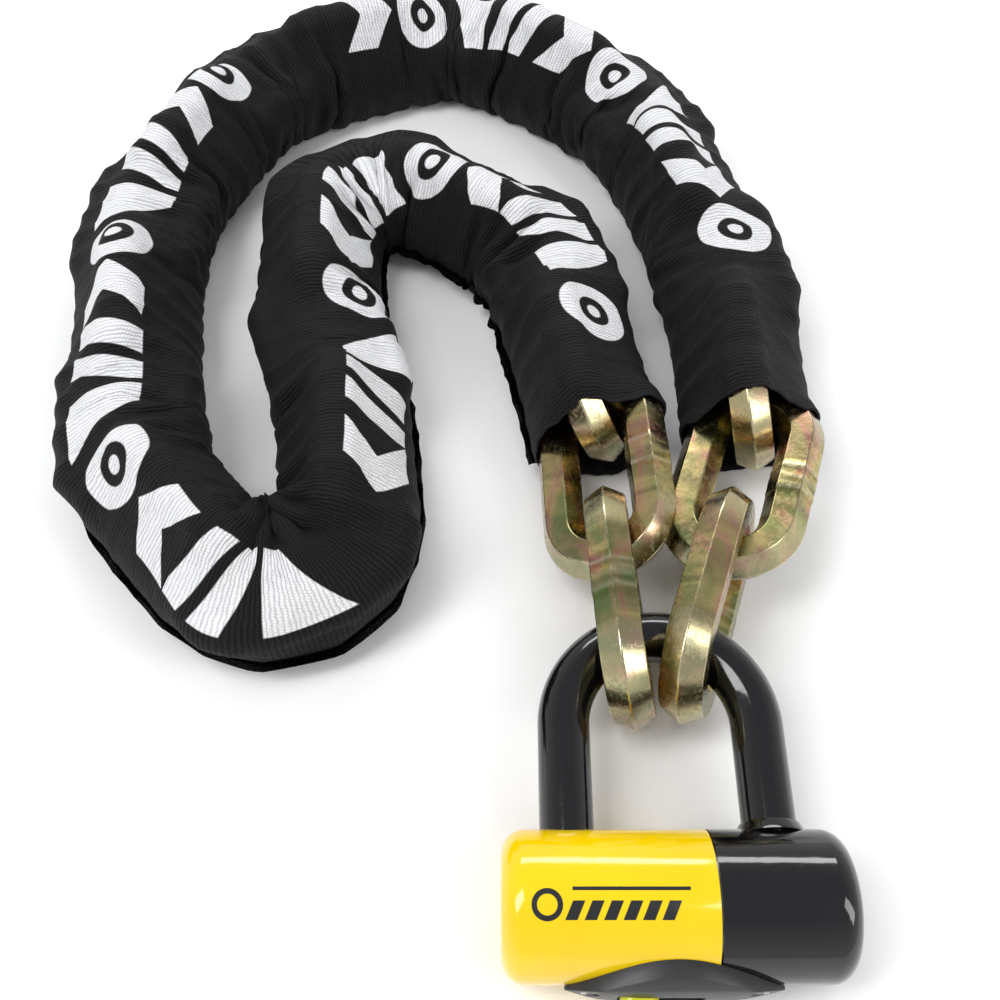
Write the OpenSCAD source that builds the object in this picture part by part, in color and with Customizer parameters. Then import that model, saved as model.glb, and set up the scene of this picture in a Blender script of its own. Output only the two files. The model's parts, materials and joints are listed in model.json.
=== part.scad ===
// Chain and padlock set: a hardened hexagonal-bar chain in a woven sleeve, joined by a
// round-barrelled double-deadbolt shackle lock. Real size, millimetres, +Z up, +Y along the strands.
// Origin: centre of the assembly's plan on the surface the set lies on.
// The layout below is drawn in the lock's own frame (barrel axis above its origin) and then
// moved by plan_shift so that the origin falls at the bottom centre of the whole assembly.

/* [Chain] */
// distance across the flats of the hexagonal bar
bar_flats = 14; // [12:0.5:14]
// overall length of one link
link_length = 86; // [84:0.5:88]
// overall width of one link
link_width = 50; // [48:0.5:52]
// distance between the two neighbouring pivots measured on a link lying flat
flat_pitch = 35; // [34:0.1:36]
// height of the chain's centreline above the surface
chain_height = 26.3; // [25.5:0.1:30]

/* [Shackle] */
// diameter of the steel shackle bar
shackle_dia = 15; // [13:0.5:15]
// thickness of the vinyl coating on the shackle
coat_t = 0.6; // [0.3:0.1:0.8]
// distance between the two leg centrelines
leg_spacing = 60; // [58:1:64]
// distance from the barrel axis to the centre of the shackle's bend
bend_centre = 53; // [48:1:60]

/* [Barrel] */
// outside diameter of the barrel covers
barrel_dia = 42; // [41:1:46]
// overall length of the barrel
barrel_len = 99; // [98:1:110]
// position along the barrel of the joint between the two covers
cover_joint = 10; // [8:0.5:13]
// radius of the rounded barrel ends
end_round = 7; // [3:0.5:9]
// tilt of the lock about the barrel axis as it lies with its bend resting in the chain
lock_tilt = 3.35; // [0:0.05:5]

/* [Sleeve] */
// thickness of the woven sleeve wall
sleeve_t = 1.1; // [0.8:0.1:1.5]
// free inside half width of the sleeve on a straight run
sleeve_half = 26.6; // [26.4:0.1:27]
// distance along the chain from the first pivot to the left mouth
mouth_left = 42; // [30:1:45]
// distance along the chain from the right mouth to the last pivot
mouth_right = 48; // [30:1:50]

/* [Hidden] */
plan_shift = [78.4, -208.45, 0];
$fn = 96;
across = bar_flats / cos(30);
half_straight = (link_length - link_width) / 2;
end_radius = (link_width - across) / 2;
edge_pitch = link_length - across;
link_count = 25;
leg_x = leg_spacing / 2;
barrel_r = barrel_dia / 2;
coat_r = shackle_dia / 2 + coat_t;

// the way the chain was laid down, first pivot to last pivot
route = [
  [-12, 130], [-13, 162], [-16, 194], [-24, 230], [-36, 268], [-60, 296], [-94, 307],
  [-124, 292], [-132, 256], [-121, 218], [-108, 184], [-98, 150], [-105, 118], [-132, 103],
  [-162, 116], [-182, 152], [-192, 202], [-200, 252], [-196, 305], [-177, 354], [-142, 391],
  [-98, 411], [-54, 408], [-17, 387], [12, 349], [31, 302], [41, 252], [44, 204],
  [43.5, 166], [31, 128]
];

// Catmull-Rom curve through the route
function bend(a, b, c, d, t) = 0.5 * (2 * b + (c - a) * t + (2 * a - 5 * b + 4 * c - d) * t * t
  + (3 * b - a - 3 * c + d) * t * t * t);
last = len(route) - 1;
path = [
  for (i = [0:last - 1], j = [0:11])
    bend(route[max(i - 1, 0)], route[i], route[i + 1], route[min(i + 2, last)], j / 12),
  route[last]
];
top = len(path) - 1;

// the next pivot: first point of the path at distance d from p
function outside(p, d, i) = (i + 1 >= top || norm(path[i + 1] - p) >= d) ? i : outside(p, d, i + 1);
function crossing(p, d, i) = let (
  e = i + 1 >= top ? 40 * (path[top] - path[top - 1]) : path[i + 1] - path[i],
  f = (i + 1 >= top ? path[top] : path[i]) - p,
  a = e * e,
  b = 2 * f * e,
  c = f * f - d * d
) p + f + e * (-b + sqrt(b * b - 4 * a * c)) / (2 * a);
function march(k, p, i) = k == link_count ? [p] : let (
  d = k % 2 == 0 ? flat_pitch : edge_pitch,
  j = outside(p, d, i)
) concat([p], march(k + 1, crossing(p, d, j), j));
pivots = march(2, path[0], 0);

// travel direction, centre and roll of each link
first_dir = [-0.05, 1] / norm([-0.05, 1]);
last_dir = [-0.355, -1] / norm([-0.355, -1]);
function along(k) = k == 1 ? first_dir : k == link_count ? last_dir
  : (pivots[k - 1] - pivots[k - 2]) / norm(pivots[k - 1] - pivots[k - 2]);
function middle(k) = k == 1 ? pivots[0] - first_dir * edge_pitch / 2
  : k == link_count ? pivots[link_count - 2] + last_dir * edge_pitch / 2
  : (pivots[k - 1] + pivots[k - 2]) / 2;
end_height = chain_height - 0.6;
function height(k) = k == 1 || k == link_count ? end_height : chain_height;
// links stand on edge and lie flat in turn; those near the lock lean with the pull of the lock
leans = [
  [1, 79], [2, -28], [3, 67], [4, -4], [5, 76],
  [21, 109], [22, 14], [23, 104], [24, 12], [25, 101]
];
function lean(k) = let (hit = [for (l = leans) if (l[0] == k) l[1]])
  len(hit) > 0 ? hit[0] : k % 2 == 1 ? 90 : 0;
function yaw(k) = atan2(along(k)[1], along(k)[0]);

// one link, long axis on X, hexagon corners in the plane of the link
module chain_link(k) {
  translate([middle(k)[0] + plan_shift[0], middle(k)[1] + plan_shift[1], height(k)])
    rotate([lean(k), 0, yaw(k)]) {
      for (s = [-1, 1])
        translate([s * half_straight, 0, 0])
          rotate([0, 0, s * -90])
            rotate_extrude(angle = 180)
              translate([end_radius, 0])
                circle(r = across / 2, $fn = 6);
      for (s = [-1, 1])
        translate([0, s * end_radius, 0])
          rotate([0, 90, 0])
            linear_extrude(2 * half_straight, center = true)
              rotate(90)
                circle(r = across / 2, $fn = 6);
    }
}

zinc = [0.72, 0.62, 0.30];
steel = [0.62, 0.63, 0.65];
yellow = [0.98, 0.80, 0.02];
black = [0.04, 0.04, 0.045];
satin = [0.09, 0.09, 0.10];
cloth = [0.05, 0.05, 0.055];
lime = [0.78, 0.80, 0.10];
brass = [0.78, 0.62, 0.28];

module link_01() { color(zinc) chain_link(1); }
module link_02() { color(zinc) chain_link(2); }
module link_03() { color(zinc) chain_link(3); }
module link_04() { color(zinc) chain_link(4); }
module link_05() { color(zinc) chain_link(5); }
module link_06() { color(zinc) chain_link(6); }
module link_07() { color(zinc) chain_link(7); }
module link_08() { color(zinc) chain_link(8); }
module link_09() { color(zinc) chain_link(9); }
module link_10() { color(zinc) chain_link(10); }
module link_11() { color(zinc) chain_link(11); }
module link_12() { color(zinc) chain_link(12); }
module link_13() { color(zinc) chain_link(13); }
module link_14() { color(zinc) chain_link(14); }
module link_15() { color(zinc) chain_link(15); }
module link_16() { color(zinc) chain_link(16); }
module link_17() { color(zinc) chain_link(17); }
module link_18() { color(zinc) chain_link(18); }
module link_19() { color(zinc) chain_link(19); }
module link_20() { color(zinc) chain_link(20); }
module link_21() { color(zinc) chain_link(21); }
module link_22() { color(zinc) chain_link(22); }
module link_23() { color(zinc) chain_link(23); }
module link_24() { color(zinc) chain_link(24); }
module link_25() { color(zinc) chain_link(25); }

// Sleeve: a twelve-sided tube round the chain. Its centreline is the run of pivots, averaged
// over about one link so that it rounds the corners.
reach = [for (i = [0:len(pivots) - 2]) norm(pivots[i + 1] - pivots[i])];
function sum_to(i) = i <= 0 ? 0 : reach[i - 1] + sum_to(i - 1);
marks = [for (i = [0:len(pivots) - 1]) sum_to(i)];
chain_run = marks[len(marks) - 1];
function span(s, i) = (i + 2 >= len(marks) || marks[i + 1] >= s) ? i : span(s, i + 1);
function on_run(s) = let (i = span(s, 0)) pivots[i]
  + (pivots[i + 1] - pivots[i]) * (s - marks[i]) / reach[i];
smooth = [for (d = [-24:8:24]) d];
function vsum(v, i) = i == 0 ? v[0] : v[i] + vsum(v, i - 1);
function mean_run(s) = vsum([for (d = smooth) on_run(s + d)], len(smooth) - 1) / len(smooth);
function heading(s) = let (v = mean_run(s + 3) - mean_run(s - 3)) v / norm(v);
// signed sine of the turn over about half a link, positive to the left
function turn(s) = let (a = heading(s - 16), b = heading(s + 16)) a[0] * b[1] - a[1] * b[0];
// links ride to the outside of a bend, and the cloth stands wider there
function centre(s) = let (h = heading(s)) mean_run(s) + 7 * turn(s) * [h[1], -h[0]];
function tube_heading(s) = let (v = centre(s + 4) - centre(s - 4)) v / norm(v);
function half_w(s) = sleeve_half + 14 * max(0, abs(turn(s)) - 0.3);
ring_step = 9;
rings = floor((chain_run - mouth_left - mouth_right) / ring_step);
function ring_s(i) = mouth_left + (chain_run - mouth_left - mouth_right) * i / rings;
half_h = link_width / 2 + 0.15;

function ring(i, extra) = let (
  s = ring_s(i),
  c = centre(s),
  h = tube_heading(s),
  w = half_w(s) + extra,
  v = half_h + extra
) [
  for (a = [0:11]) let (x = w * cos(15 + 30 * a) / cos(15), z = v * sin(15 + 30 * a) / cos(15))
    [c[0] - h[1] * x + plan_shift[0], c[1] + h[0] * x + plan_shift[1], chain_height + z]
];
sleeve_pts = [
  for (i = [0:rings]) each ring(i, sleeve_t),
  for (i = [0:rings]) each ring(i, 0)
];
inner = 12 * (rings + 1);
sleeve_faces = [
  for (i = [0:rings - 1], a = [0:11]) let (b = (a + 1) % 12)
    each [
      [12 * i + a, 12 * i + b, 12 * i + 12 + b],
      [12 * i + a, 12 * i + 12 + b, 12 * i + 12 + a],
      [inner + 12 * i + a, inner + 12 * i + 12 + b, inner + 12 * i + b],
      [inner + 12 * i + a, inner + 12 * i + 12 + a, inner + 12 * i + 12 + b]
    ],
  for (a = [0:11]) let (b = (a + 1) % 12)
    each [
      [a, inner + b, b],
      [a, inner + a, inner + b],
      [12 * rings + a, 12 * rings + b, inner + 12 * rings + b],
      [12 * rings + a, inner + 12 * rings + b, inner + 12 * rings + a]
    ]
];

module sleeve() {
  color(cloth)
    polyhedron(points = sleeve_pts, faces = sleeve_faces);
}

// ---- lock -------------------------------------------------------------------------------

// the lock's own axes: X along the barrel, Y along the legs, Z up from the flat of the lock
module in_lock() {
  translate([plan_shift[0], plan_shift[1], barrel_r])
    rotate([lock_tilt, 0, 0])
      children();
}

// a rod along Y between y0 and y1
module rod_y(r, y0, y1) {
  translate([0, y0, 0])
    rotate([-90, 0, 0])
      cylinder(r = r, h = y1 - y0);
}

// a rod along X between x0 and x1
module rod_x(r, x0, x1) {
  translate([x0, 0, 0])
    rotate([0, 90, 0])
      cylinder(r = r, h = x1 - x0);
}

leg_end = -10;
bolt_y = 6.6;
bolt_r = 5;
bolt_travel = 5;
nose_x = leg_x - shackle_dia / 2 - 0.7;
core_r = barrel_r - 2.2;
core_half = barrel_len / 2 - 4.6;
coat_foot = core_r + 0.4;

module shackle_bar() {
  color(steel)
    in_lock()
      difference() {
        union() {
          translate([0, bend_centre, 0])
            rotate_extrude(angle = 180)
              translate([leg_x, 0])
                circle(d = shackle_dia);
          for (s = [-1, 1])
            translate([s * leg_x, 0, 0])
              rod_y(shackle_dia / 2, leg_end + 1, bend_centre);
          for (s = [-1, 1])
            translate([s * leg_x, leg_end, 0])
              rotate([-90, 0, 0])
                cylinder(r1 = shackle_dia / 2 - 1, r2 = shackle_dia / 2, h = 1);
        }
        translate([0, bolt_y, 0])
          rod_x(bolt_r + 0.3, -nose_x - bolt_travel - 0.5, nose_x + bolt_travel + 0.5);
      }
}

module shackle_coating() {
  color(black)
    in_lock()
      difference() {
        union() {
          translate([0, bend_centre, 0])
            rotate_extrude(angle = 180)
              translate([leg_x, 0])
                circle(r = coat_r);
          for (s = [-1, 1])
            translate([s * leg_x, 0, 0])
              rod_y(coat_r, coat_foot, bend_centre);
        }
        translate([0, bend_centre, 0])
          rotate_extrude(angle = 180)
            translate([leg_x, 0])
              circle(r = shackle_dia / 2 + 0.02);
        for (s = [-1, 1])
          translate([s * leg_x, 0, 0])
            rod_y(shackle_dia / 2 + 0.02, coat_foot - 1, bend_centre + 0.01);
      }
}

housing_r = 8.3;
plug_r = 6.1;
cyl_front = -17.6;
cyl_back = 0.4;
chamber_r = 7.2;

module crossbar_body() {
  color(steel)
    in_lock()
      difference() {
        rod_x(core_r, -core_half, core_half);
        for (s = [-1, 1])
          translate([s * leg_x, 0, 0])
            rod_y(shackle_dia / 2 + 0.25, leg_end - 2, core_r + 1);
        rod_y(housing_r + 0.15, -core_r - 1, cyl_back + 0.2);
        rod_y(chamber_r, cyl_back, 10.4);
        translate([0, bolt_y, 0])
          rod_x(bolt_r + 0.15, -leg_x, leg_x);
        translate([0, -9, housing_r - 1])
          cylinder(d = 3.1, h = 20);
        for (x = screw_x)
          translate([x, 0, 0])
            rod_y(1.55, -core_r - 1, -14);
      }
}

// one half of the moulded barrel cover, closed end towards +X, from x0 to the barrel end
module cover_shell(x0) {
  rotate([0, 90, 0])
    difference() {
      rotate_extrude() {
        translate([0, x0])
          square([barrel_r, barrel_len / 2 - end_round - x0]);
        translate([0, barrel_len / 2 - end_round - 1])
          square([barrel_r - end_round, end_round + 1]);
        translate([barrel_r - end_round, barrel_len / 2 - end_round])
          circle(r = end_round);
      }
      translate([0, 0, x0 - 1])
        cylinder(r = core_r + 0.2, h = core_half + 0.2 - x0 + 1);
    }
}

screw_x = [-25, 22];

module yellow_cover() {
  color(yellow)
    in_lock()
      difference() {
        mirror([1, 0, 0])
          cover_shell(-cover_joint + 0.25);
        translate([-leg_x, 0, 0])
          rod_y(coat_r + 0.3, 0, barrel_r + 1);
        rod_y(housing_r + 0.4, -barrel_r - 1, 0);
        translate([screw_x[0], 0, 0])
          rod_y(1.7, -barrel_r - 1, 0);
      }
}

module black_cover() {
  color(black)
    in_lock()
      difference() {
        union() {
          cover_shell(cover_joint + 0.25);
          translate([leg_x, barrel_r - 1.5, 0])
            rotate([-90, 0, 0])
              cylinder(r1 = coat_r + 2.6, r2 = coat_r + 0.9, h = 3.2);
        }
        rod_x(core_r + 0.2, cover_joint - 1, core_half + 0.2);
        translate([leg_x, 0, 0])
          rod_y(coat_r + 0.3, 0, barrel_r + 4);
        translate([screw_x[1], 0, 0])
          rod_y(1.7, -barrel_r - 1, 0);
      }
}

module cylinder_housing() {
  color(brass)
    in_lock()
      difference() {
        rod_y(housing_r, cyl_front, cyl_back);
        rod_y(plug_r + 0.15, cyl_front - 1, cyl_back + 1);
        translate([4, -16.2, -1.2])
          cube([3.4, 13.4, 2.4]);
        translate([0, -9, housing_r - 0.9])
          cylinder(d = 3.3, h = 3);
      }
}

// keyway section used through the plug face and the discs
module keyway(y0, y1) {
  translate([-3.2, y0, -1.2])
    cube([6.4, y1 - y0, 2.4]);
}

module key_plug() {
  color(brass)
    in_lock() {
      difference() {
        rod_y(plug_r, cyl_front + 0.4, cyl_back - 0.4);
        rod_y(5, cyl_front + 1.8, cyl_back - 2);
        keyway(cyl_front - 1, cyl_front + 2);
        translate([-1.1, -16, 4])
          cube([2.2, 13, 4]);
      }
      translate([-3, cyl_back - 0.5, -1.2])
        cube([6, 1.9, 2.4]);
    }
}

module detainer_discs() {
  color(steel)
    in_lock()
      for (i = [0:6])
        difference() {
          rod_y(4.85, -15.7 + 1.95 * i, -14.2 + 1.95 * i);
          keyway(-15.8 + 1.95 * i, -14.1 + 1.95 * i);
          translate([-1.15, -15.8 + 1.95 * i, 3.9])
            cube([2.3, 1.7, 2]);
        }
}

module side_bar() {
  color(brass)
    in_lock()
      translate([-1, -15.8, 4.1])
        cube([2, 12.6, 1.8]);
}

// crank disc behind the plug with two pins, one for each deadbolt
pin_off = bolt_travel / 2;

module drive_cam() {
  color(steel)
    in_lock() {
      difference() {
        rod_y(6, 0.9, 3.4);
        translate([-3.1, 0, -1.3])
          cube([6.2, 1.9, 2.6]);
      }
      for (s = [-1, 1])
        translate([-s * pin_off, 0, s * pin_off])
          rod_y(1.5, 3.4, 9.6);
    }
}

// the right-hand bolt; the left one is the same part turned half round
module bolt() {
  difference() {
    union() {
      translate([0, bolt_y, 0])
        rod_x(bolt_r, 6.4, nose_x - 0.8);
      translate([nose_x - 0.8, bolt_y, 0])
        rotate([0, 90, 0])
          cylinder(r1 = bolt_r, r2 = bolt_r - 0.8, h = 0.8);
      intersection() {
        translate([0, bolt_y, 0])
          rod_x(bolt_r, -5.4, 6.4);
        translate([-6, 3.9, 0.9])
          cube([13, 10, 5]);
      }
    }
    translate([-pin_off - 1.75, 2, -1])
      cube([3.5, 7.8, 7]);
  }
}

module deadbolt_right() {
  color(steel)
    in_lock()
      bolt();
}

module deadbolt_left() {
  color(steel)
    in_lock()
      rotate([0, 180, 0])
        bolt();
}

module cylinder_retainer() {
  color(steel)
    in_lock()
      translate([0, -9, housing_r - 0.7])
        cylinder(d = 3, h = 8);
}

module drill_guard() {
  color(steel)
    in_lock()
      difference() {
        rod_y(housing_r - 0.1, cyl_front - 1.8, cyl_front - 0.2);
        rod_y(4.4, cyl_front - 3, cyl_front);
      }
}

// Keyhole surround: a boat-shaped plate bent round the barrel, with a pocket for the dust cover
plate_mid = -1.5;
plate_half = 30.5;
plate_rise = 13.5;
plate_arc = (plate_half * plate_half + plate_rise * plate_rise) / (2 * plate_rise);
plate_out = barrel_r + 4;
slide_y = barrel_r + 2.45;
head_y = barrel_r + 2.1;

module base_plate() {
  color(satin)
    in_lock()
      difference() {
        intersection() {
          translate([plate_mid, 0, plate_rise - plate_arc])
            rod_y(plate_arc, -plate_out - 1, -8);
          translate([plate_mid, 0, plate_arc - plate_rise])
            rod_y(plate_arc, -plate_out - 1, -8);
          rod_x(plate_out, plate_mid - 40, plate_mid + 40);
          translate([plate_mid, 168 - plate_out, -30])
            cylinder(r = 168, h = 60, $fn = 360);
        }
        rod_x(barrel_r + 0.1, -50, 50);
        translate([-18, -slide_y - 0.15, -6])
          cube([25.6, 1.6, 12]);
        translate([-17.3, -30, -3.8])
          cube([23.6, 31 - slide_y, 7.6]);
        rod_y(5, -24, -10);
        for (x = screw_x)
          translate([x, 0, 0]) {
            rod_y(1.7, -30, -10);
            rod_y(2.8, -30, 1.3 - head_y);
          }
      }
}

module dust_cover() {
  color(satin)
    in_lock()
      translate([-17.4, -slide_y, -5.8])
        cube([11.4, 1.3, 11.6]);
}

module dust_cover_tab() {
  color(lime)
    in_lock()
      intersection() {
        union() {
          for (x = [-13.4, -9.4])
            translate([x, 0, 0])
              rod_y(3.4, -slide_y - 3, -slide_y);
          translate([-13.4, -slide_y - 3, -3.4])
            cube([4, 3, 6.8]);
        }
        translate([-11.4, 13 - slide_y, 0])
          sphere(r = 16);
      }
}

module plate_screws() {
  color(steel)
    in_lock()
      for (x = screw_x)
        translate([x, 0, 0]) {
          rod_y(1.45, 1.1 - head_y, -14.3);
          difference() {
            rod_y(2.6, -head_y, 1.25 - head_y);
            translate([0, -head_y - 0.1, 0])
              rotate([-90, 0, 0])
                cylinder(d = 2.6, h = 0.8, $fn = 6);
          }
        }
}

link_01();
link_02();
link_03();
link_04();
link_05();
link_06();
link_07();
link_08();
link_09();
link_10();
link_11();
link_12();
link_13();
link_14();
link_15();
link_16();
link_17();
link_18();
link_19();
link_20();
link_21();
link_22();
link_23();
link_24();
link_25();
sleeve();
shackle_bar();
shackle_coating();
crossbar_body();
yellow_cover();
black_cover();
cylinder_housing();
key_plug();
detainer_discs();
side_bar();
drive_cam();
deadbolt_right();
deadbolt_left();
cylinder_retainer();
drill_guard();
base_plate();
dust_cover();
dust_cover_tab();
plate_screws();
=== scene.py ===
import json
import math

import bmesh
import bpy
import numpy as np
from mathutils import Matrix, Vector


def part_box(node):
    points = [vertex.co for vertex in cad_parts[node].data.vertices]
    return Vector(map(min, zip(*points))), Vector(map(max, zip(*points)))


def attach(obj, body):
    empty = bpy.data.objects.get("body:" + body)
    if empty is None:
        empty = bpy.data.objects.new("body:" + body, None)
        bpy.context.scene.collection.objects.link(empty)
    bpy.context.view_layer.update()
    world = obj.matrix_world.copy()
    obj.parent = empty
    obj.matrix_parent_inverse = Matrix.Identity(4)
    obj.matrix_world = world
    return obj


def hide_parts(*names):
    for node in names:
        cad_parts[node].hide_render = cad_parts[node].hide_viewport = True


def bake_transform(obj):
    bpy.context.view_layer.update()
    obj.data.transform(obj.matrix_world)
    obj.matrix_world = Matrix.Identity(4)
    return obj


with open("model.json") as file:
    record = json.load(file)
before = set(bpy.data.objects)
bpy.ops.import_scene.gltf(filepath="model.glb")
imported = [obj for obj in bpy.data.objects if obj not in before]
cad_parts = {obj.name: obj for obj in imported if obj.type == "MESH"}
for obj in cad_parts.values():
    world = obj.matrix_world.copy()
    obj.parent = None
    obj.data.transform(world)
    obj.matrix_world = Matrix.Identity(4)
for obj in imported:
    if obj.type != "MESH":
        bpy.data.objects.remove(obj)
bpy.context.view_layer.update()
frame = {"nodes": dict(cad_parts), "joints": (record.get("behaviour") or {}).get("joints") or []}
nodes = frame["nodes"]
scene = bpy.context.scene

# ---------------------------------------------------------------- camera, light, floor
# the lock's own origin in the row frame: under the middle of the barrel
y_lo, y_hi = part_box("yellow_cover")
_, b_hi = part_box("black_cover")
LX = (y_lo.x + b_hi.x) / 2
LY = (y_lo.y + y_hi.y) / 2
BARREL_R = (y_hi.z - y_lo.z) / 2

cam = bpy.data.objects.new("camera", bpy.data.cameras.new("camera"))
scene.collection.objects.link(cam)
cam.data.sensor_width = 36.0
cam.data.lens = 39.6
cam.data.clip_start = 0.02
# in front of the barrel and a little to its left, tipped up from straight down towards the chain
cam.location = (LX - 0.0497, LY - 0.0798, 0.3468)
cam.rotation_euler = (math.radians(34.0), 0.0, 0.0)
scene.camera = cam

scene.view_settings.view_transform = "Standard"
scene.view_settings.look = "None"
scene.view_settings.exposure = 0.0


def area_light(name, loc, target, size, power, size_y=None):
    d = bpy.data.lights.new(name, "AREA")
    d.energy = power
    d.size = size
    if size_y:
        d.shape = "RECTANGLE"
        d.size_y = size_y
    o = bpy.data.objects.new(name, d)
    scene.collection.objects.link(o)
    o.location = loc
    o.rotation_euler = (Vector(target) - Vector(loc)).to_track_quat("-Z", "Y").to_euler()
    return o


area_light("key", (-0.60, -0.30, 1.1), (0, 0, 0), 0.40, 9.5, 0.9)
area_light("fill", (0.9, -0.5, 0.8), (0, -0.05, 0), 0.35, 5.0, 0.9)
area_light("back", (0.1, 1.1, 0.9), (0, 0.05, 0), 1.2, 7.5, 0.25)

world = bpy.data.worlds.new("studio")
scene.world = world
world.use_nodes = True
wn = world.node_tree
wn.nodes["Background"].inputs[1].default_value = 0.85
sky = wn.nodes.new("ShaderNodeValToRGB")
sep = wn.nodes.new("ShaderNodeSeparateXYZ")
wn.links.new(wn.nodes.new("ShaderNodeTexCoord").outputs["Generated"], sep.inputs[0])
wn.links.new(sep.outputs[2], sky.inputs[0])
wn.links.new(sky.outputs[0], wn.nodes["Background"].inputs[0])
# white at the horizon and greyer overhead, so that gloss parts show a gradient
sky.color_ramp.elements[0].position = 0.05
sky.color_ramp.elements[0].color = (1.0, 1.0, 1.0, 1)
sky.color_ramp.elements[1].position = 0.85
sky.color_ramp.elements[1].color = (0.50, 0.51, 0.53, 1)


# ---------------------------------------------------------------- node helpers
class Tree:
    """A material's node tree with short calls for maths on sockets."""

    def __init__(self, name):
        self.mat = bpy.data.materials.new(name)
        self.mat.use_nodes = True
        self.t = self.mat.node_tree
        self.out = self.t.nodes["Material Output"]
        self.bsdf = self.t.nodes["Principled BSDF"]

    def new(self, kind, **props):
        n = self.t.nodes.new(kind)
        for k, v in props.items():
            setattr(n, k, v)
        return n

    def put(self, socket, value):
        if hasattr(value, "is_output") or isinstance(value, bpy.types.NodeSocket):
            self.t.links.new(value, socket)
        else:
            socket.default_value = value

    def m(self, op, a, b=None, c=None, clamp=False):
        n = self.new("ShaderNodeMath", operation=op, use_clamp=clamp)
        for i, v in enumerate((a, b, c)):
            if v is not None:
                self.put(n.inputs[i], v)
        return n.outputs[0]

    def step(self, x, lo, hi):
        n = self.new("ShaderNodeMapRange", interpolation_type="SMOOTHSTEP")
        self.put(n.inputs["Value"], x)
        self.put(n.inputs["From Min"], lo)
        self.put(n.inputs["From Max"], hi)
        return n.outputs[0]

    def between(self, x, lo, hi, soft, lead=0.0):
        """1 where x is between lo and hi, with soft edges."""
        rise = self.step(x, lo - lead, lo + soft)
        fall = self.step(x, hi - lead, hi + soft)
        return self.m("MULTIPLY", rise, self.m("SUBTRACT", 1.0, fall))

    def remap(self, x, a, b, c, d):
        n = self.new("ShaderNodeMapRange")
        for k, v in zip(("Value", "From Min", "From Max", "To Min", "To Max"), (x, a, b, c, d)):
            self.put(n.inputs[k], v)
        return n.outputs[0]

    def noise(self, vec, scale, detail=2.0, rough=0.5, dist=0.0):
        n = self.new("ShaderNodeTexNoise")
        self.put(n.inputs["Vector"], vec)
        n.inputs["Scale"].default_value = scale
        n.inputs["Detail"].default_value = detail
        n.inputs["Roughness"].default_value = rough
        n.inputs["Distortion"].default_value = dist
        return n.outputs["Fac"]

    def ramp(self, x, stops):
        n = self.new("ShaderNodeValToRGB")
        self.put(n.inputs[0], x)
        e = n.color_ramp.elements
        while len(e) < len(stops):
            e.new(0.5)
        for i, (p, c) in enumerate(stops):
            e[i].position = p
            e[i].color = (*c, 1)
        return n.outputs[0]

    def mix(self, fac, a, b, mode="MIX"):
        n = self.new("ShaderNodeMix", data_type="RGBA", blend_type=mode)
        self.put(n.inputs[0], fac)
        self.put(n.inputs[6], a if not isinstance(a, tuple) else (*a, 1))
        self.put(n.inputs[7], b if not isinstance(b, tuple) else (*b, 1))
        return n.outputs[2]

    def obj(self):
        return self.new("ShaderNodeTexCoord").outputs["Object"]

    def scaled(self, vec, s):
        n = self.new("ShaderNodeMapping")
        self.put(n.inputs["Vector"], vec)
        n.inputs["Scale"].default_value = s
        return n.outputs[0]

    def xyz(self, vec):
        n = self.new("ShaderNodeSeparateXYZ")
        self.put(n.inputs[0], vec)
        return n.outputs

    def bump(self, height, strength, dist, normal=None):
        n = self.new("ShaderNodeBump")
        n.inputs["Strength"].default_value = strength
        n.inputs["Distance"].default_value = dist
        self.put(n.inputs["Height"], height)
        if normal is not None:
            self.put(n.inputs["Normal"], normal)
        return n.outputs[0]

    def set(self, **kw):
        for k, v in kw.items():
            self.put(self.bsdf.inputs[k.replace("_", " ")], v)
        return self.mat


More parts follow.
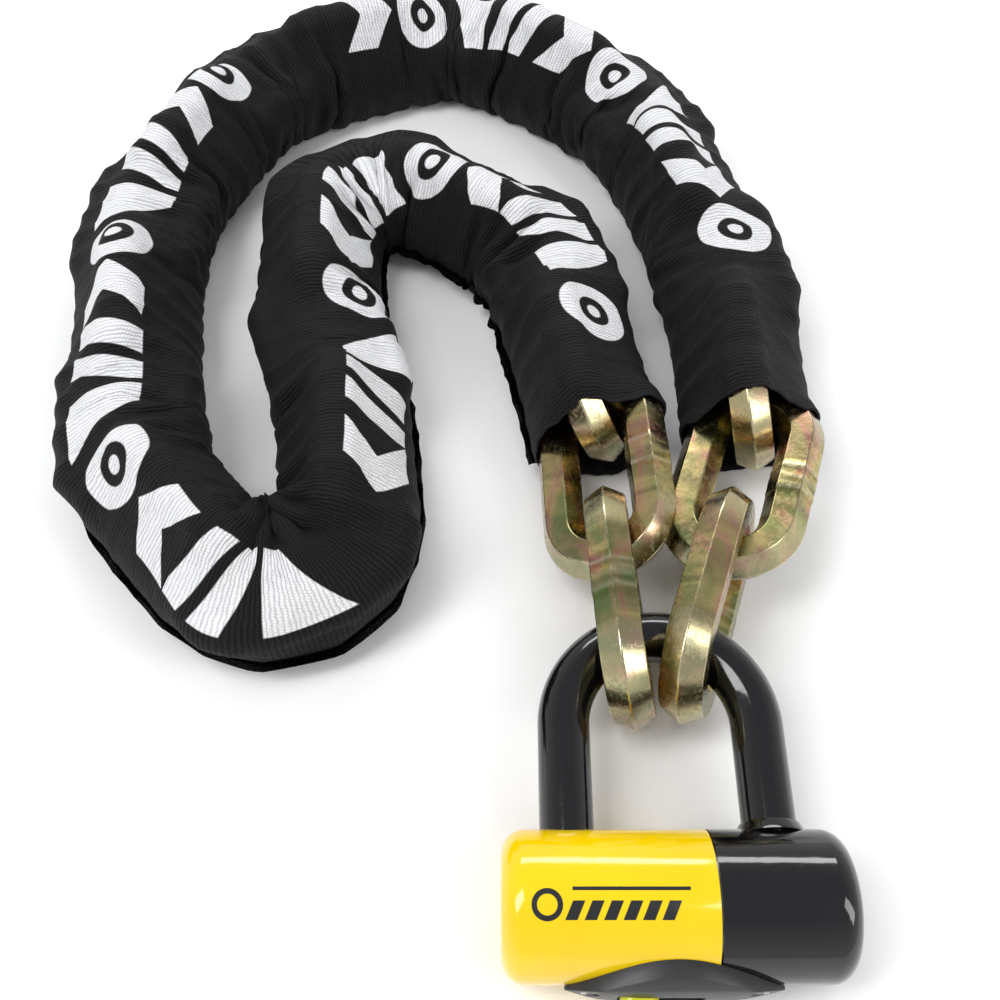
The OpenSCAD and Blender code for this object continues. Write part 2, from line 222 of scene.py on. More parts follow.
# ---------------------------------------------------------------- materials
def zinc_material():
    """Yellow zinc chromate: golden film with streaks of green and pink, changing from face to face; the
    faces are also painted lighter and darker as painted reflection, and the ridges pale as painted
    highlight.
    """
    t = Tree("zinc_chromate")
    o = t.obj()
    # bands lie across the bar and change at each facet: the UV map "bar" gives the place along the
    # bar and the facet's number
    uv = t.new("ShaderNodeUVMap", uv_map="bar").outputs[0]
    facet = t.m("FLOOR", t.xyz(uv)[1])
    comb = t.new("ShaderNodeCombineXYZ")
    t.put(comb.inputs[0], t.m("MULTIPLY", t.xyz(uv)[0], 0.10))
    t.put(comb.inputs[1], t.m("MULTIPLY", facet, 3.7))
    t.put(comb.inputs[2], t.m("MULTIPLY", t.xyz(o)[0], 9.0))
    streak = t.noise(comb.outputs[0], 1.0, 2.0, 0.5, 0.8)
    big = t.noise(o, 60.0, 2.0, 0.5, 0.8)
    shade = t.m("ADD", t.m("MULTIPLY", streak, 0.75), t.m("MULTIPLY", big, 0.25))
    film = t.noise(t.scaled(o, (1.0, 0.45, 1.3)), 70.0, 2.0, 0.5, 1.5)
    # painted reflection over the film's own colour: the near-black and pale stops paint some facets dark
    # and some bright, as mirrored dark and bright surroundings would
    film_and_painted_reflection = t.ramp(shade, [
        (0.36, (0.040, 0.034, 0.012)),
        (0.47, (0.19, 0.150, 0.048)),
        (0.56, (0.52, 0.40, 0.15)),
        (0.66, (0.15, 0.100, 0.024)),
    ])
    tint = t.ramp(film, [
        (0.36, (0.13, 0.24, 0.045)),
        (0.45, (0.30, 0.27, 0.09)),
        (0.54, (0.47, 0.36, 0.13)),
        (0.61, (0.62, 0.23, 0.20)),
        (0.70, (0.30, 0.14, 0.035)),
    ])
    col = t.mix(0.46, film_and_painted_reflection, tint)
    fine = t.noise(o, 520.0, 3.0, 0.6)
    pits = t.step(fine, 0.36, 0.50)
    col = t.mix(t.remap(pits, 0, 1, 0.35, 0.0), col, (0.12, 0.105, 0.05))
    # painted highlight: the convex ridges are painted pale, as a bright reflection along each ridge
    painted_ridge_highlight = t.step(t.new("ShaderNodeNewGeometry").outputs["Pointiness"], 0.515, 0.56)
    col = t.mix(t.m("MULTIPLY", painted_ridge_highlight, 0.75), col, (0.86, 0.80, 0.62))
    scr = t.noise(t.scaled(o, (1.0, 0.10, 1.0)), 1500.0, 2.0, 0.5)
    rough = t.m("ADD", t.remap(big, 0.3, 0.7, 0.16, 0.28), t.remap(pits, 0, 1, 0.16, 0.0))
    h = t.m("ADD", t.m("MULTIPLY", fine, 0.7), t.m("MULTIPLY", scr, 0.3))
    t.set(Base_Color=col, Metallic=1.0, Roughness=rough, Normal=t.bump(h, 0.22, 0.00018))
    return t.mat


def gloss_material(name, color, rough=0.12, coat=0.6, scuff=0.5, print_mask=None):
    t = Tree(name)
    o = t.obj()
    mott = t.noise(o, 30.0, 2.0, 0.5)
    dust = t.noise(o, 600.0, 3.0, 0.6)
    dark = tuple(c * 0.90 for c in color)
    col = t.mix(t.remap(mott, 0.3, 0.7, 0.0, 1.0), dark, color)
    r = t.m("ADD", rough, t.m("MULTIPLY", t.step(dust, 0.52, 0.72), 0.10 * scuff))
    if print_mask:
        mask = print_mask(t, o)
        col = t.mix(mask, col, (0.012, 0.012, 0.013))
        r = t.m("ADD", r, t.m("MULTIPLY", mask, 0.12))
    peel = t.noise(o, 260.0, 1.0, 0.5)
    scr = t.noise(t.scaled(o, (0.06, 1.0, 1.0)), 1700.0, 2.0, 0.5)
    h = t.m("ADD", peel, t.m("MULTIPLY", scr, 0.12))
    t.set(Base_Color=col, Roughness=r, Normal=t.bump(h, 0.12, 0.0004))
    t.set(Coat_Weight=coat, Coat_Roughness=0.05, IOR=1.5)
    return t.mat


# the mark on the yellow cover, in metres from the mark's middle
MARK_SHIFT = 0.004
MARK_ANGLE = 0.20
MARK_EDGE = 0.00012
BLOCK_PITCH = 0.0052
BLOCK_SLANT = 0.45
RING_AT = (0.0330, 0.0006)


def generic_print(t, o):
    """A plain row of slanted blocks over a thin rule, with a ring at its left: no letters."""
    x, y, z = t.xyz(o)
    along = t.m("SUBTRACT", x, LX - MARK_SHIFT)
    angle = t.m("ARCTAN2", t.m("SUBTRACT", LY, y), t.m("SUBTRACT", z, BARREL_R))
    across = t.m("MULTIPLY", t.m("SUBTRACT", angle, MARK_ANGLE), -BARREL_R)

    slanted = t.m("SUBTRACT", along, t.m("MULTIPLY", across, BLOCK_SLANT))
    cell = t.m("FRACT", t.m("DIVIDE", t.m("ADD", slanted, 0.1), BLOCK_PITCH))
    blocks = t.between(cell, 0.16, 0.80, 0.04)
    row = t.between(across, -0.0046, 0.0004, MARK_EDGE)
    ends = t.between(slanted, -0.0266, 0.0046, MARK_EDGE)
    blocks = t.m("MULTIPLY", t.m("MULTIPLY", blocks, row), ends)

    rule = t.between(across, 0.0030, 0.0040, MARK_EDGE)
    rule = t.m("MULTIPLY", rule, t.between(along, -0.0262, 0.0058, MARK_EDGE))

    dx = t.m("ADD", along, RING_AT[0])
    dy = t.m("ADD", across, RING_AT[1])
    radius = t.m("SQRT", t.m("ADD", t.m("MULTIPLY", dx, dx), t.m("MULTIPLY", dy, dy)))
    ring = t.between(radius, 0.0027, 0.0042, MARK_EDGE)

    front = t.m("GREATER_THAN", z, BARREL_R)
    mark = t.m("MAXIMUM", t.m("MAXIMUM", blocks, rule), ring)
    return t.m("MULTIPLY", mark, front, clamp=True)


def metal_material(name, color, rough):
    t = Tree(name)
    o = t.obj()
    n1 = t.noise(o, 70.0, 3.0, 0.5)
    n2 = t.noise(t.scaled(o, (1.0, 0.08, 1.0)), 2200.0, 2.0, 0.5)
    col = t.mix(n1, tuple(c * 0.75 for c in color), color)
    r = t.remap(n1, 0.3, 0.7, rough * 0.8, rough * 1.3)
    t.set(Base_Color=col, Metallic=1.0, Roughness=r, Normal=t.bump(n2, 0.15, 0.0002))
    return t.mat


def satin_material(name, color):
    t = Tree(name)
    o = t.obj()
    g = t.noise(o, 1300.0, 3.0, 0.6)
    m = t.noise(o, 60.0, 2.0, 0.5)
    col = t.mix(m, tuple(c * 0.7 for c in color), color)
    t.set(Base_Color=col, Roughness=t.remap(m, 0.3, 0.7, 0.34, 0.46), Normal=t.bump(g, 0.22, 0.0002))
    return t.mat


# the cloth's ribs and yarns, and the printed blocks, in metres of cloth
RIB = 0.00145
YARN = 0.0011
CELL = 0.029
PRINT_HALF = 0.0155
PRINT_EDGE = 0.0003


def print_shapes(t, x, v, kind):
    """One plain shape in each printed block: a split bar, a chevron, a ring with a dot, or a wedge."""
    def band(val, lo, hi):
        return t.between(val, lo, hi, PRINT_EDGE, PRINT_EDGE)

    above = t.m("ABSOLUTE", v)
    tall = t.m("SUBTRACT", 1.0, t.step(above, PRINT_HALF - PRINT_EDGE, PRINT_HALF + PRINT_EDGE))

    slanted = t.m("ADD", x, t.m("MULTIPLY", v, 0.30))
    split = t.m("SUBTRACT", 1.0, band(slanted, -0.0022, 0.0022))
    bar = t.m("MULTIPLY", t.m("MULTIPLY", band(slanted, -0.0115, 0.0115), tall), split)

    chevron = t.m("MULTIPLY", band(t.m("ADD", x, t.m("MULTIPLY", above, 0.70)), -0.0030, 0.0125), tall)

    flat_v = t.m("MULTIPLY", t.m("MULTIPLY", v, v), 0.72)
    radius = t.m("SQRT", t.m("ADD", t.m("MULTIPLY", x, x), flat_v))
    dot = t.m("SUBTRACT", 1.0, t.step(radius, 0.0026, 0.0032))
    ring = t.m("MAXIMUM", band(radius, 0.0066, 0.0136), dot)

    slope = t.m("MULTIPLY", t.m("ADD", v, PRINT_HALF), 0.50)
    long_side = t.step(t.m("SUBTRACT", t.m("ADD", x, 0.0125), slope), -PRINT_EDGE, PRINT_EDGE)
    short_side = t.m("SUBTRACT", 1.0, t.step(x, 0.0115, 0.0121))
    wedge = t.m("MULTIPLY", t.m("MULTIPLY", long_side, short_side), tall)

    total = 0.0
    for n, shape in enumerate((bar, chevron, ring, wedge)):
        chosen = t.m("COMPARE", kind, float(n), 0.1)
        total = t.m("ADD", total, t.m("MULTIPLY", shape, chosen))
    return total


def cloth_material():
    """Coarse black nylon with ribs round the tube, carrying a plain geometric print; the rib crests are
    painted lighter and the grooves darker, as painted highlight and shade.
    """
    t = Tree("woven_nylon")
    # the UV map holds metres times 10, with the print's middle line at v = 5
    uv = t.new("ShaderNodeUVMap", uv_map="run").outputs[0]
    u, v, _ = t.xyz(uv)
    um = t.m("MULTIPLY", u, 0.1)
    vm = t.m("MULTIPLY", t.m("SUBTRACT", v, 5.0), 0.1)

    wobble = t.noise(t.scaled(uv, (10.0, 10.0, 1.0)), 3.0, 2.0)
    ribs = t.m("ADD", t.m("DIVIDE", um, RIB), t.m("MULTIPLY", wobble, 0.9))
    rib = t.m("SINE", t.m("MULTIPLY", t.m("FRACT", ribs), math.pi))
    half = t.m("MULTIPLY", t.m("MODULO", t.m("FLOOR", ribs), 2.0), 0.5)
    yarns = t.m("FRACT", t.m("ADD", t.m("DIVIDE", vm, YARN), half))
    yarn = t.m("SINE", t.m("MULTIPLY", yarns, math.pi))
    yarn_part = t.m("ADD", 0.55, t.m("MULTIPLY", yarn, 0.45))
    weave = t.m("MULTIPLY", t.m("POWER", rib, 0.7), yarn_part)
    fuzz = t.noise(uv, 900.0, 2.0, 0.6)

    # print: one shape in each block, in three runs with gaps between them
    cells = t.m("DIVIDE", um, CELL)
    k = t.m("FLOOR", cells)
    x = t.m("MULTIPLY", t.m("SUBTRACT", t.m("FRACT", cells), 0.5), CELL)
    shape = print_shapes(t, x, vm, t.m("MODULO", t.m("ADD", k, 1.0), 4.0))
    printed = 0.0
    for first, last in PRINT:
        run = t.between(k, first - 0.5, last + 0.5, PRINT_EDGE, PRINT_EDGE)
        printed = t.m("ADD", printed, run, clamp=True)
    shape = t.m("MULTIPLY", shape, printed)
    worn_from = t.m("ADD", t.m("MULTIPLY", weave, 0.5), t.m("MULTIPLY", fuzz, 0.5))
    worn = t.step(worn_from, 0.16, 0.34)
    ink = t.m("MULTIPLY", shape, t.m("ADD", 0.55, t.m("MULTIPLY", worn, 0.45)))

    # painted highlight and shade: the black is painted lighter on the rib crests and darker in the
    # grooves
    base = t.mix(weave, (0.0006, 0.0006, 0.0008), (0.0100, 0.0100, 0.0114))
    base = t.mix(t.m("MULTIPLY", t.noise(uv, 6.0, 3.0), 0.30), base, (0.007, 0.0072, 0.008))
    # painted shade: the white print is painted darker in the grooves between the ribs
    white = t.mix(weave, (0.66, 0.67, 0.69), (0.92, 0.92, 0.93))
    dirt = t.m("MULTIPLY", t.step(t.noise(uv, 5.0, 3.0, 0.6), 0.45, 0.75), 0.16)
    white = t.mix(dirt, white, (0.42, 0.43, 0.45))
    rough = t.m("SUBTRACT", 0.82, t.m("MULTIPLY", weave, 0.20))
    t.set(Base_Color=t.mix(ink, base, white), Roughness=rough)
    t.set(Sheen_Weight=0.01, Sheen_Roughness=0.4, Specular_IOR_Level=0.18)

    crease = t.noise(t.scaled(uv, (1.0, 0.35, 1.0)), 9.0, 3.0, 0.55, 0.6)
    creased = t.bump(crease, 0.55, 0.006)
    threads = t.m("ADD", weave, t.m("MULTIPLY", fuzz, 0.25))
    t.set(Normal=t.bump(threads, 0.95, 0.00055, creased))
    return t.mat


def floor_material():
    t = Tree("floor_paper")
    n = t.noise(t.obj(), 900.0, 2.0)
    pale = t.mix(n, (0.93, 0.93, 0.93), (0.95, 0.95, 0.95))
    t.set(Base_Color=pale, Roughness=0.75, Normal=t.bump(n, 0.03, 0.0002), Specular_IOR_Level=0.2)
    return t.mat


FLOOR_HALF = 6.0
FLOOR_Z = -0.0004
floor_mesh = bpy.data.meshes.new("floor")
corners = [(x * FLOOR_HALF, y * FLOOR_HALF, FLOOR_Z) for x, y in ((-1, -1), (1, -1), (1, 1), (-1, 1))]
floor_mesh.from_pydata(corners, [], [(0, 1, 2, 3)])
floor = bpy.data.objects.new("floor", floor_mesh)
scene.collection.objects.link(floor)
floor.data.materials.append(floor_material())

# ---------------------------------------------------------------- chain layout, read from the frame
LINK_COUNT = 25
# a link: half its straight stretch, the radius of its bend's middle line, the bar's corner radius
HALF_STRAIGHT, BEND_R, BAR_R = 0.018, 0.016917, 0.0081


def link_frame(k):
    """Centre, long axis, across axis and normal of a link, from its own mesh."""
    co = np.array([v.co for v in nodes[f"link_{k:02d}"].data.vertices], float)
    middle = (co.min(0) + co.max(0)) / 2
    spread = np.unique(np.round(co, 5), axis=0) - middle
    _, axes = np.linalg.eigh(spread.T @ spread)
    return middle, axes[:, 2], axes[:, 1], axes[:, 0]


LINKS = {k: link_frame(k) for k in range(1, LINK_COUNT + 1)}
pivot = {j["name"]: np.array(j["pos_m"]) for j in frame["joints"] if j["name"].startswith("bend_")}
joint_at = {k: pivot[f"bend_{k:02d}_{k + 1:02d}"] for k in range(2, LINK_COUNT - 1)}
joint_at[1] = 2 * LINKS[2][0] - joint_at[2]
joint_at[LINK_COUNT - 1] = 2 * LINKS[LINK_COUNT - 1][0] - joint_at[LINK_COUNT - 2]
ROUTE = np.array([joint_at[k][:2] for k in range(1, LINK_COUNT)])
for k in range(2, LINK_COUNT):
    middle, long_axis, across, normal = LINKS[k]
    onward = np.array([*(ROUTE[k - 1] - ROUTE[k - 2]), 0.0])
    if long_axis @ onward < 0:
        LINKS[k] = (middle, -long_axis, -across, normal)
CHAIN_Z = float(LINKS[8][0][2])

# distances along the route: at its corners, and at each link's middle
reach = np.linalg.norm(np.diff(ROUTE, axis=0), axis=1)
marks = np.r_[0, np.cumsum(reach)]
LINK_S = {k: (marks[k - 2] + marks[k - 1]) / 2 for k in range(2, LINK_COUNT)}


def unit(v):
    return v / np.maximum(np.linalg.norm(v, axis=-1, keepdims=True), 1e-12)


def on_route(s):
    i = np.clip(np.searchsorted(marks, s, side="left") - 1, 0, len(ROUTE) - 2)
    return ROUTE[i] + (ROUTE[i + 1] - ROUTE[i]) * ((s - marks[i]) / reach[i])[..., None]


def rounded_route(s, window=0.024):
    return np.mean([on_route(s + d) for d in np.linspace(-window, window, 7)], axis=0)


def heading(s):
    return unit(rounded_route(s + 0.003) - rounded_route(s - 0.003))


def turn(s):
    """How sharply the route turns at s: the sine of the turn over 32 mm, positive to the left."""
    a, b = heading(s - 0.016), heading(s + 0.016)
    return a[..., 0] * b[..., 1] - a[..., 1] * b[..., 0]


def centre(s):
    """The sleeve's middle line: the rounded route, a little outwards in the bends."""
    h = heading(s)
    outwards = np.stack([h[..., 1], -h[..., 0]], -1)
    return rounded_route(s) + 0.007 * turn(s)[..., None] * outwards


def along_and_left(s):
    along = unit(centre(s + 0.004) - centre(s - 0.004))
    return along, np.stack([-along[:, 1], along[:, 0]], -1)


# ---------------------------------------------------------------- sleeve: a small cloth solver on a tube
# the bare run before each mouth, and the tube's length along the chain
MOUTH_LEFT, MOUTH_RIGHT = 0.042, 0.048
S_FROM, S_TO = MOUTH_LEFT, marks[-1] - MOUTH_RIGHT
# cloth round the tube, and how much longer the cloth is than the run that it covers
CIRCUMFERENCE = 0.168
SLACK = 1.13
RINGS, POINTS = 372, 56
RING_GAP = (S_TO - S_FROM) / (RINGS - 1)
START_HALF_WIDTH, START_HALF_HEIGHT = 0.0262, 0.0250
# the cloth's middle surface stays this far off a link's bar
BAR_CLEARANCE = 0.0009
FLOOR_GAP, TOP_LIMIT, SIDE_ROOM = 0.0007, 0.0580, 0.0022
SETTLE_STEPS = 420
SAG_PER_STEP = 0.000018


def start_tube():
    """An oval tube round the chain, wider in sharp bends."""
    s = np.linspace(S_FROM, S_TO, RINGS)
    mid = centre(s)
    _, left = along_and_left(s)
    half_width = START_HALF_WIDTH + 0.008 * np.maximum(0, np.abs(turn(s)) - 0.3)
    angle = np.arange(POINTS) * 2 * math.pi / POINTS
    sideways = half_width[:, None] * np.cos(angle)[None]
    x = np.zeros((RINGS, POINTS, 3))
    x[..., :2] = mid[:, None] + left[:, None] * sideways[..., None]
    x[..., 2] = CHAIN_Z + START_HALF_HEIGHT * np.sin(angle)[None]
    return s, angle, mid, left, half_width, x


def first_ripple(s, angle, squeeze):
    """A shallow ripple where the cloth has to gather, so that the folds have somewhere to start."""
    run = s[:, None]
    phase = 2.3 * np.sin(s * 23.0)[:, None] + 1.4 * np.sin(angle * 2.0 + 0.7)[None]
    phase = phase + 0.8 * np.sin(angle * 3.0 - run * 31.0)
    ripple = np.sin(2 * math.pi * run / 0.0115 + phase)
    ripple = ripple + 0.6 * np.sin(2 * math.pi * run / 0.019 + 1.7 * phase)
    return 0.0013 * ripple * (0.35 + 1.8 * squeeze)


def pull_along(x, rest):
    """Edges along the chain, in two sets; short cloth pulls twice as hard as slack cloth pushes."""
    for first in (0, 1):
        ia = np.arange(first, RINGS - 1, 2)
        d = x[ia + 1] - x[ia]
        length = np.linalg.norm(d, axis=2)
        k = np.where(length > rest[ia], 0.9, 0.45)
        f = (0.5 * k * (length - rest[ia]) / length)[..., None] * d
        x[ia] += f
        x[ia + 1] -= f


def pull_round(x, rest):
    """Edges round the tube, in two sets."""
    for first in (0, 1):
        ja = np.arange(first, POINTS, 2)
        jb = (ja + 1) % POINTS
        d = x[:, jb] - x[:, ja]
        length = np.linalg.norm(d, axis=2)
        f = (0.5 * 0.9 * (length - rest) / length)[..., None] * d
        x[:, ja] += f
        x[:, jb] -= f


def pull_diagonals(x, rest):
    """Both diagonals of each cell, weakly, so that the weave can shear."""
    for side in (1, -1):
        jb = (np.arange(POINTS) + side) % POINTS
        for first in (0, 1):
            ia = np.arange(first, RINGS - 1, 2)
            d = x[ia + 1][:, jb] - x[ia]
            length = np.linalg.norm(d, axis=2)
            f = (0.5 * 0.12 * (length - rest[ia]) / length)[..., None] * d
            x[ia] += f
            g = np.zeros_like(x[ia])
            g[:, jb] = f
            x[ia + 1] -= g


def ease_bends(x):
    x[1:-1] += 0.05 * (x[:-2] + x[2:] - 2 * x[1:-1])
    x += 0.07 * (np.roll(x, 1, 1) + np.roll(x, -1, 1) - 2 * x)


def keep_off_link(x, rows, link):
    """Points inside a link's bar, or too close to it, move straight out from the bar's middle line."""
    middle, long_axis, across, normal = link
    p = x[rows] - middle
    px, py, pz = p @ long_axis, p @ across, p @ normal
    cx = np.clip(px, -HALF_STRAIGHT, HALF_STRAIGHT)
    vx = px - cx
    r = np.sqrt(vx ** 2 + py ** 2)
    dist = np.sqrt(np.maximum(r - BEND_R, 0) ** 2 + pz ** 2)
    need = BAR_R + BAR_CLEARANCE
    hit = dist < need
    if not hit.any():
        return
    f = np.where(hit, need / np.maximum(dist, 1e-6), 1.0)
    q = np.minimum(r, BEND_R) / np.maximum(r, 1e-9)
    bx, by = cx + vx * q, py * q
    nx, ny, nz = bx + (px - bx) * f, by + (py - by) * f, pz * f
    moved = middle + nx[..., None] * long_axis + ny[..., None] * across + nz[..., None] * normal
    x[rows] = np.where(hit[..., None], moved, x[rows])


def settle_tube():
    """The tube after it has been pulled to its cloth lengths round the links and onto the floor."""
    s, angle, mid, left, half_width, x = start_tube()
    edge = np.linalg.norm(np.diff(x, axis=0), axis=2)
    rest_along = np.clip(RING_GAP * SLACK, 0.98 * edge, 1.9 * edge)
    rest_round = CIRCUMFERENCE / POINTS
    rest_diagonal = np.sqrt(rest_along ** 2 + rest_round ** 2)
    squeeze = np.clip(rest_along / edge - 1.0, 0, 0.75)
    squeeze = np.vstack([squeeze, squeeze[-1:]])
    mid3 = np.concatenate([mid, np.full((RINGS, 1), CHAIN_Z)], 1)[:, None]
    x += unit(x - mid3) * first_ripple(s, angle, squeeze)[..., None]
    close = {k: np.where(np.abs(s - LINK_S[k]) < 0.055)[0] for k in range(2, LINK_COUNT)}
    close = {k: slice(r[0], r[-1] + 1) for k, r in close.items() if len(r)}
    side_limit = (half_width + SIDE_ROOM)[:, None]
    for _ in range(SETTLE_STEPS):
        x[..., 2] -= SAG_PER_STEP
        pull_along(x, rest_along)
        pull_round(x, rest_round)
        pull_diagonals(x, rest_diagonal)
        ease_bends(x)
        for k, rows in close.items():
            keep_off_link(x, rows, LINKS[k])
        x[..., 2] = np.clip(x[..., 2], FLOOR_GAP, TOP_LIMIT)
        # the tube stays out of the strand alongside
        sideways = ((x[..., :2] - mid[:, None]) * left[:, None]).sum(2)
        over = np.clip(sideways, -side_limit, side_limit) - sideways
        x[..., :2] += over[..., None] * left[:, None]
    return x


def between_points(a, axis, closed):
    """Four-point interpolation: a new point between each two."""
    if closed:
        before, after, second = np.roll(a, 1, axis), np.roll(a, -1, axis), np.roll(a, -2, axis)
        mid = (9 * (a + after) - (before + second)) / 16
        shape = list(a.shape)
        shape[axis] *= 2
        return np.stack([a, mid], axis + 1).reshape(shape)
    a = np.moveaxis(a, axis, 0)
    ext = np.concatenate([2 * a[:1] - a[1:2], a, 2 * a[-1:] - a[-2:-1]])
    out = np.empty((2 * len(a) - 1, *a.shape[1:]))
    out[0::2] = a
    out[1::2] = (9 * (a[:-1] + a[1:]) - (ext[:-3] + ext[3:])) / 16
    return np.moveaxis(out, 0, axis)


def grid_normals(g):
    du = np.gradient(g, axis=0)
    dv = np.roll(g, -1, 1) - np.roll(g, 1, 1)
    return unit(np.cross(dv, du))


SMOOTH = between_points(between_points(settle_tube(), 0, False), 1, True)
FINE_S = np.linspace(S_FROM, S_TO, 2 * RINGS - 1)
FINE_RINGS, FINE_POINTS = SMOOTH.shape[:2]
FINE_ALONG, fine_left = along_and_left(FINE_S)
FINE_LEFT = np.concatenate([fine_left, np.zeros((FINE_RINGS, 1))], 1)


def fold_height(angle, gather):
    """Wandering folds across the run, deepest where the tube gathers at the inside of a bend."""
    s = FINE_S[:, None]
    a = angle[None]
    warp = 1.9 * np.sin(s * 31.0) + 1.1 * np.sin(2 * a + 0.6) + 0.7 * np.sin(3 * a - s * 44.0)
    narrow = 1 - 2 * np.abs(np.sin(math.pi * s / 0.0125 + 0.5 * warp)) ** 0.8
    wide = 1 - 2 * np.abs(np.sin(math.pi * s / 0.0210 - 0.8 * warp + 1.3 * np.sin(a))) ** 0.8
    patch = 0.5 + 0.5 * np.sin(s * 58.0 + 1.6 * np.sin(a + 1.0) + 0.9 * np.sin(s * 17.0))
    depth = 0.0007 + 0.0015 * patch + 0.0040 * gather
    return (0.55 + 0.45 * (0.6 * narrow + 0.4 * wide)) * depth


def folded_tube():
    """The settled tube with its folds and its uneven cut ends, and its outward normals."""
    angle = np.arange(FINE_POINTS) * 2 * math.pi / FINE_POINTS
    gather = np.clip(turn(FINE_S)[:, None] * np.cos(angle)[None], 0, 0.7)
    mid3 = np.concatenate([centre(FINE_S), np.full((FINE_RINGS, 1), CHAIN_Z)], 1)[:, None]
    out = grid_normals(SMOOTH)
    if ((SMOOTH - mid3) * out).sum() < 0:
        out = -out
    x = SMOOTH + out * fold_height(angle, gather)[..., None]
    # where the cloth bunches hardest, at the inside of the sharp bend, its points are evened out
    bunch = np.clip((gather - 0.30) / 0.25, 0, 1)[1:-1, :, None]
    for _ in range(4):
        x[1:-1] += 0.5 * bunch * ((x[:-2] + x[2:]) / 2 - x[1:-1])
    ragged = 0.0011 * np.sin(3 * angle + 0.4) + 0.0007 * np.sin(7 * angle + 1.9)
    ragged = ragged + 0.0003 * np.sin(19 * angle)
    at_left = np.clip(1 - (FINE_S - S_FROM) / 0.014, 0, 1)
    at_right = np.clip(1 - (S_TO - FINE_S) / 0.014, 0, 1)
    x[..., :2] += FINE_ALONG[:, None] * ((at_right - at_left)[:, None] * ragged[None])[..., None]
    x[..., 2] = np.maximum(x[..., 2], 0.0006)
    folded_out = grid_normals(x)
    return x, folded_out if (folded_out * out).sum() > 0 else -folded_out


TUBE, TUBE_OUT = folded_tube()

# the print's middle line at distances along the chain, in degrees from the tube's left side up over
# its top: it starts past the top, leans to the left in the wide loop and comes back to the top
PRINT_DEG = np.interp(
    FINE_S,
    [0.09, 0.15, 0.21, 0.27, 0.35, 0.42, 0.47, 0.55, 0.65, 0.75, 0.83, 0.92, 1.00, 1.07],
    [112, 95, 56, 48, 46, 55, 58, 78, 92, 98, 112, 106, 90, 80],
)
print_column = np.round(PRINT_DEG / 360.0 * FINE_POINTS).astype(int) % FINE_POINTS
print_line = SMOOTH[np.arange(FINE_RINGS), print_column]
CLOTH_RUN = np.r_[0, np.cumsum(np.linalg.norm(np.diff(print_line, axis=0), axis=1))]
# each run of print, from and to in metres along the chain, becomes its first and last block
PRINT = []
for run_from, run_to in ((0.066, 0.412), (0.430, 0.745), (0.772, 1.085)):
    u0, u1 = np.interp([run_from, run_to], FINE_S, CLOTH_RUN)
    PRINT.append((math.ceil(u0 / CELL), math.floor(u1 / CELL) - 1))
cloth = cloth_material()


def grid_mesh(name, blocks):
    """One mesh from grids of points with normals and UVs; each block is (points, normals, uv, closed)."""
    points, normals, faces, uvs = [], [], [], []
    base = 0
    for pts, nrm, uv, closed in blocks:
        rows, m = pts.shape[:2]
        points.append(pts.reshape(-1, 3))
        normals.append(nrm.reshape(-1, 3))
        for i in range(rows - 1):
            here, there = base + i * m, base + (i + 1) * m
            for j in range(m if closed else m - 1):
                k = (j + 1) % m
                faces.append((here + j, here + k, there + k, there + j))
                # the last column of a closed grid has its own UV edge, one step past
                uvs += [uv[i, j], uv[i, j + 1], uv[i + 1, j + 1], uv[i + 1, j]]
        base += rows * m
    me = bpy.data.meshes.new(name)
    me.from_pydata(np.concatenate(points).tolist(), [], faces)
    me.uv_layers.new(name="run")
    me.uv_layers["run"].data.foreach_set("uv", np.array(uvs, np.float32).ravel())
    me.polygons.foreach_set("use_smooth", [True] * len(me.polygons))
    me.normals_split_custom_set_from_vertices(np.concatenate(normals).tolist())
    me.update()
    o = bpy.data.objects.new(name, me)
    scene.collection.objects.link(o)
    me.materials.append(cloth)
    return o


def tube_uv():
    """u is metres of cloth along the print's middle line, times 10. v is metres round the tube from
    that line, times 10, plus 5. The UVs are cut along the tube's left side."""
    angle = np.arange(FINE_POINTS + 1) * 360.0 / FINE_POINTS
    v = (angle[None] - PRINT_DEG[:, None]) / 360.0
    u = np.repeat((CLOTH_RUN * 10)[:, None], FINE_POINTS + 1, 1)
    return np.stack([u, v * CIRCUMFERENCE * 10 + 5], -1)


TUBE_UV = tube_uv()
SEAM_DEG = -24.0
SEAM_COLUMN = int(round(SEAM_DEG / 360.0 * FINE_POINTS)) % FINE_POINTS
SEAM_HALF_THICK = 0.0006
SEAM_V = 5 + np.array([0.50, 0.53, 0.55])
HEM_LENGTH = 0.015
UP = np.array([0, 0, 1.0])


def flange_blocks(rows):
    """The sewn seam's flange along the outer lower side: an upper and a lower face."""
    root, outwards = TUBE[rows, SEAM_COLUMN], FINE_LEFT[rows]
    wave = 0.0008 * np.sin(FINE_S[rows] * 260.0)[:, None]
    width = 0.0030 + 0.0004 * np.sin(FINE_S[rows] * 90.0)[:, None]
    middle = root + outwards * 0.0016 + UP * -0.0002
    edge = root + outwards * width + UP * (wave - 0.0006)
    middle[:, 2] = np.maximum(middle[:, 2], 0.0012)
    edge[:, 2] = np.maximum(edge[:, 2], 0.0010)
    inner = root - 0.001 * outwards
    up = np.tile(UP, (len(root), 1))
    u = np.repeat((CLOTH_RUN[rows] * 10)[:, None], 3, 1)
    uv = np.stack([u, np.tile(SEAM_V, (len(root), 1))], -1)
    blocks = []
    for side in (1.0, -1.0):
        lift = up * (side * SEAM_HALF_THICK)
        pts = np.stack([inner + lift, middle + lift, edge + lift * 0.4], 1)
        out = np.repeat((up * side)[:, None], 3, 1)
        if side > 0:
            blocks.append((pts, out, uv, False))
        else:
            blocks.append((pts[:, ::-1], out, uv[:, ::-1], False))
    return blocks


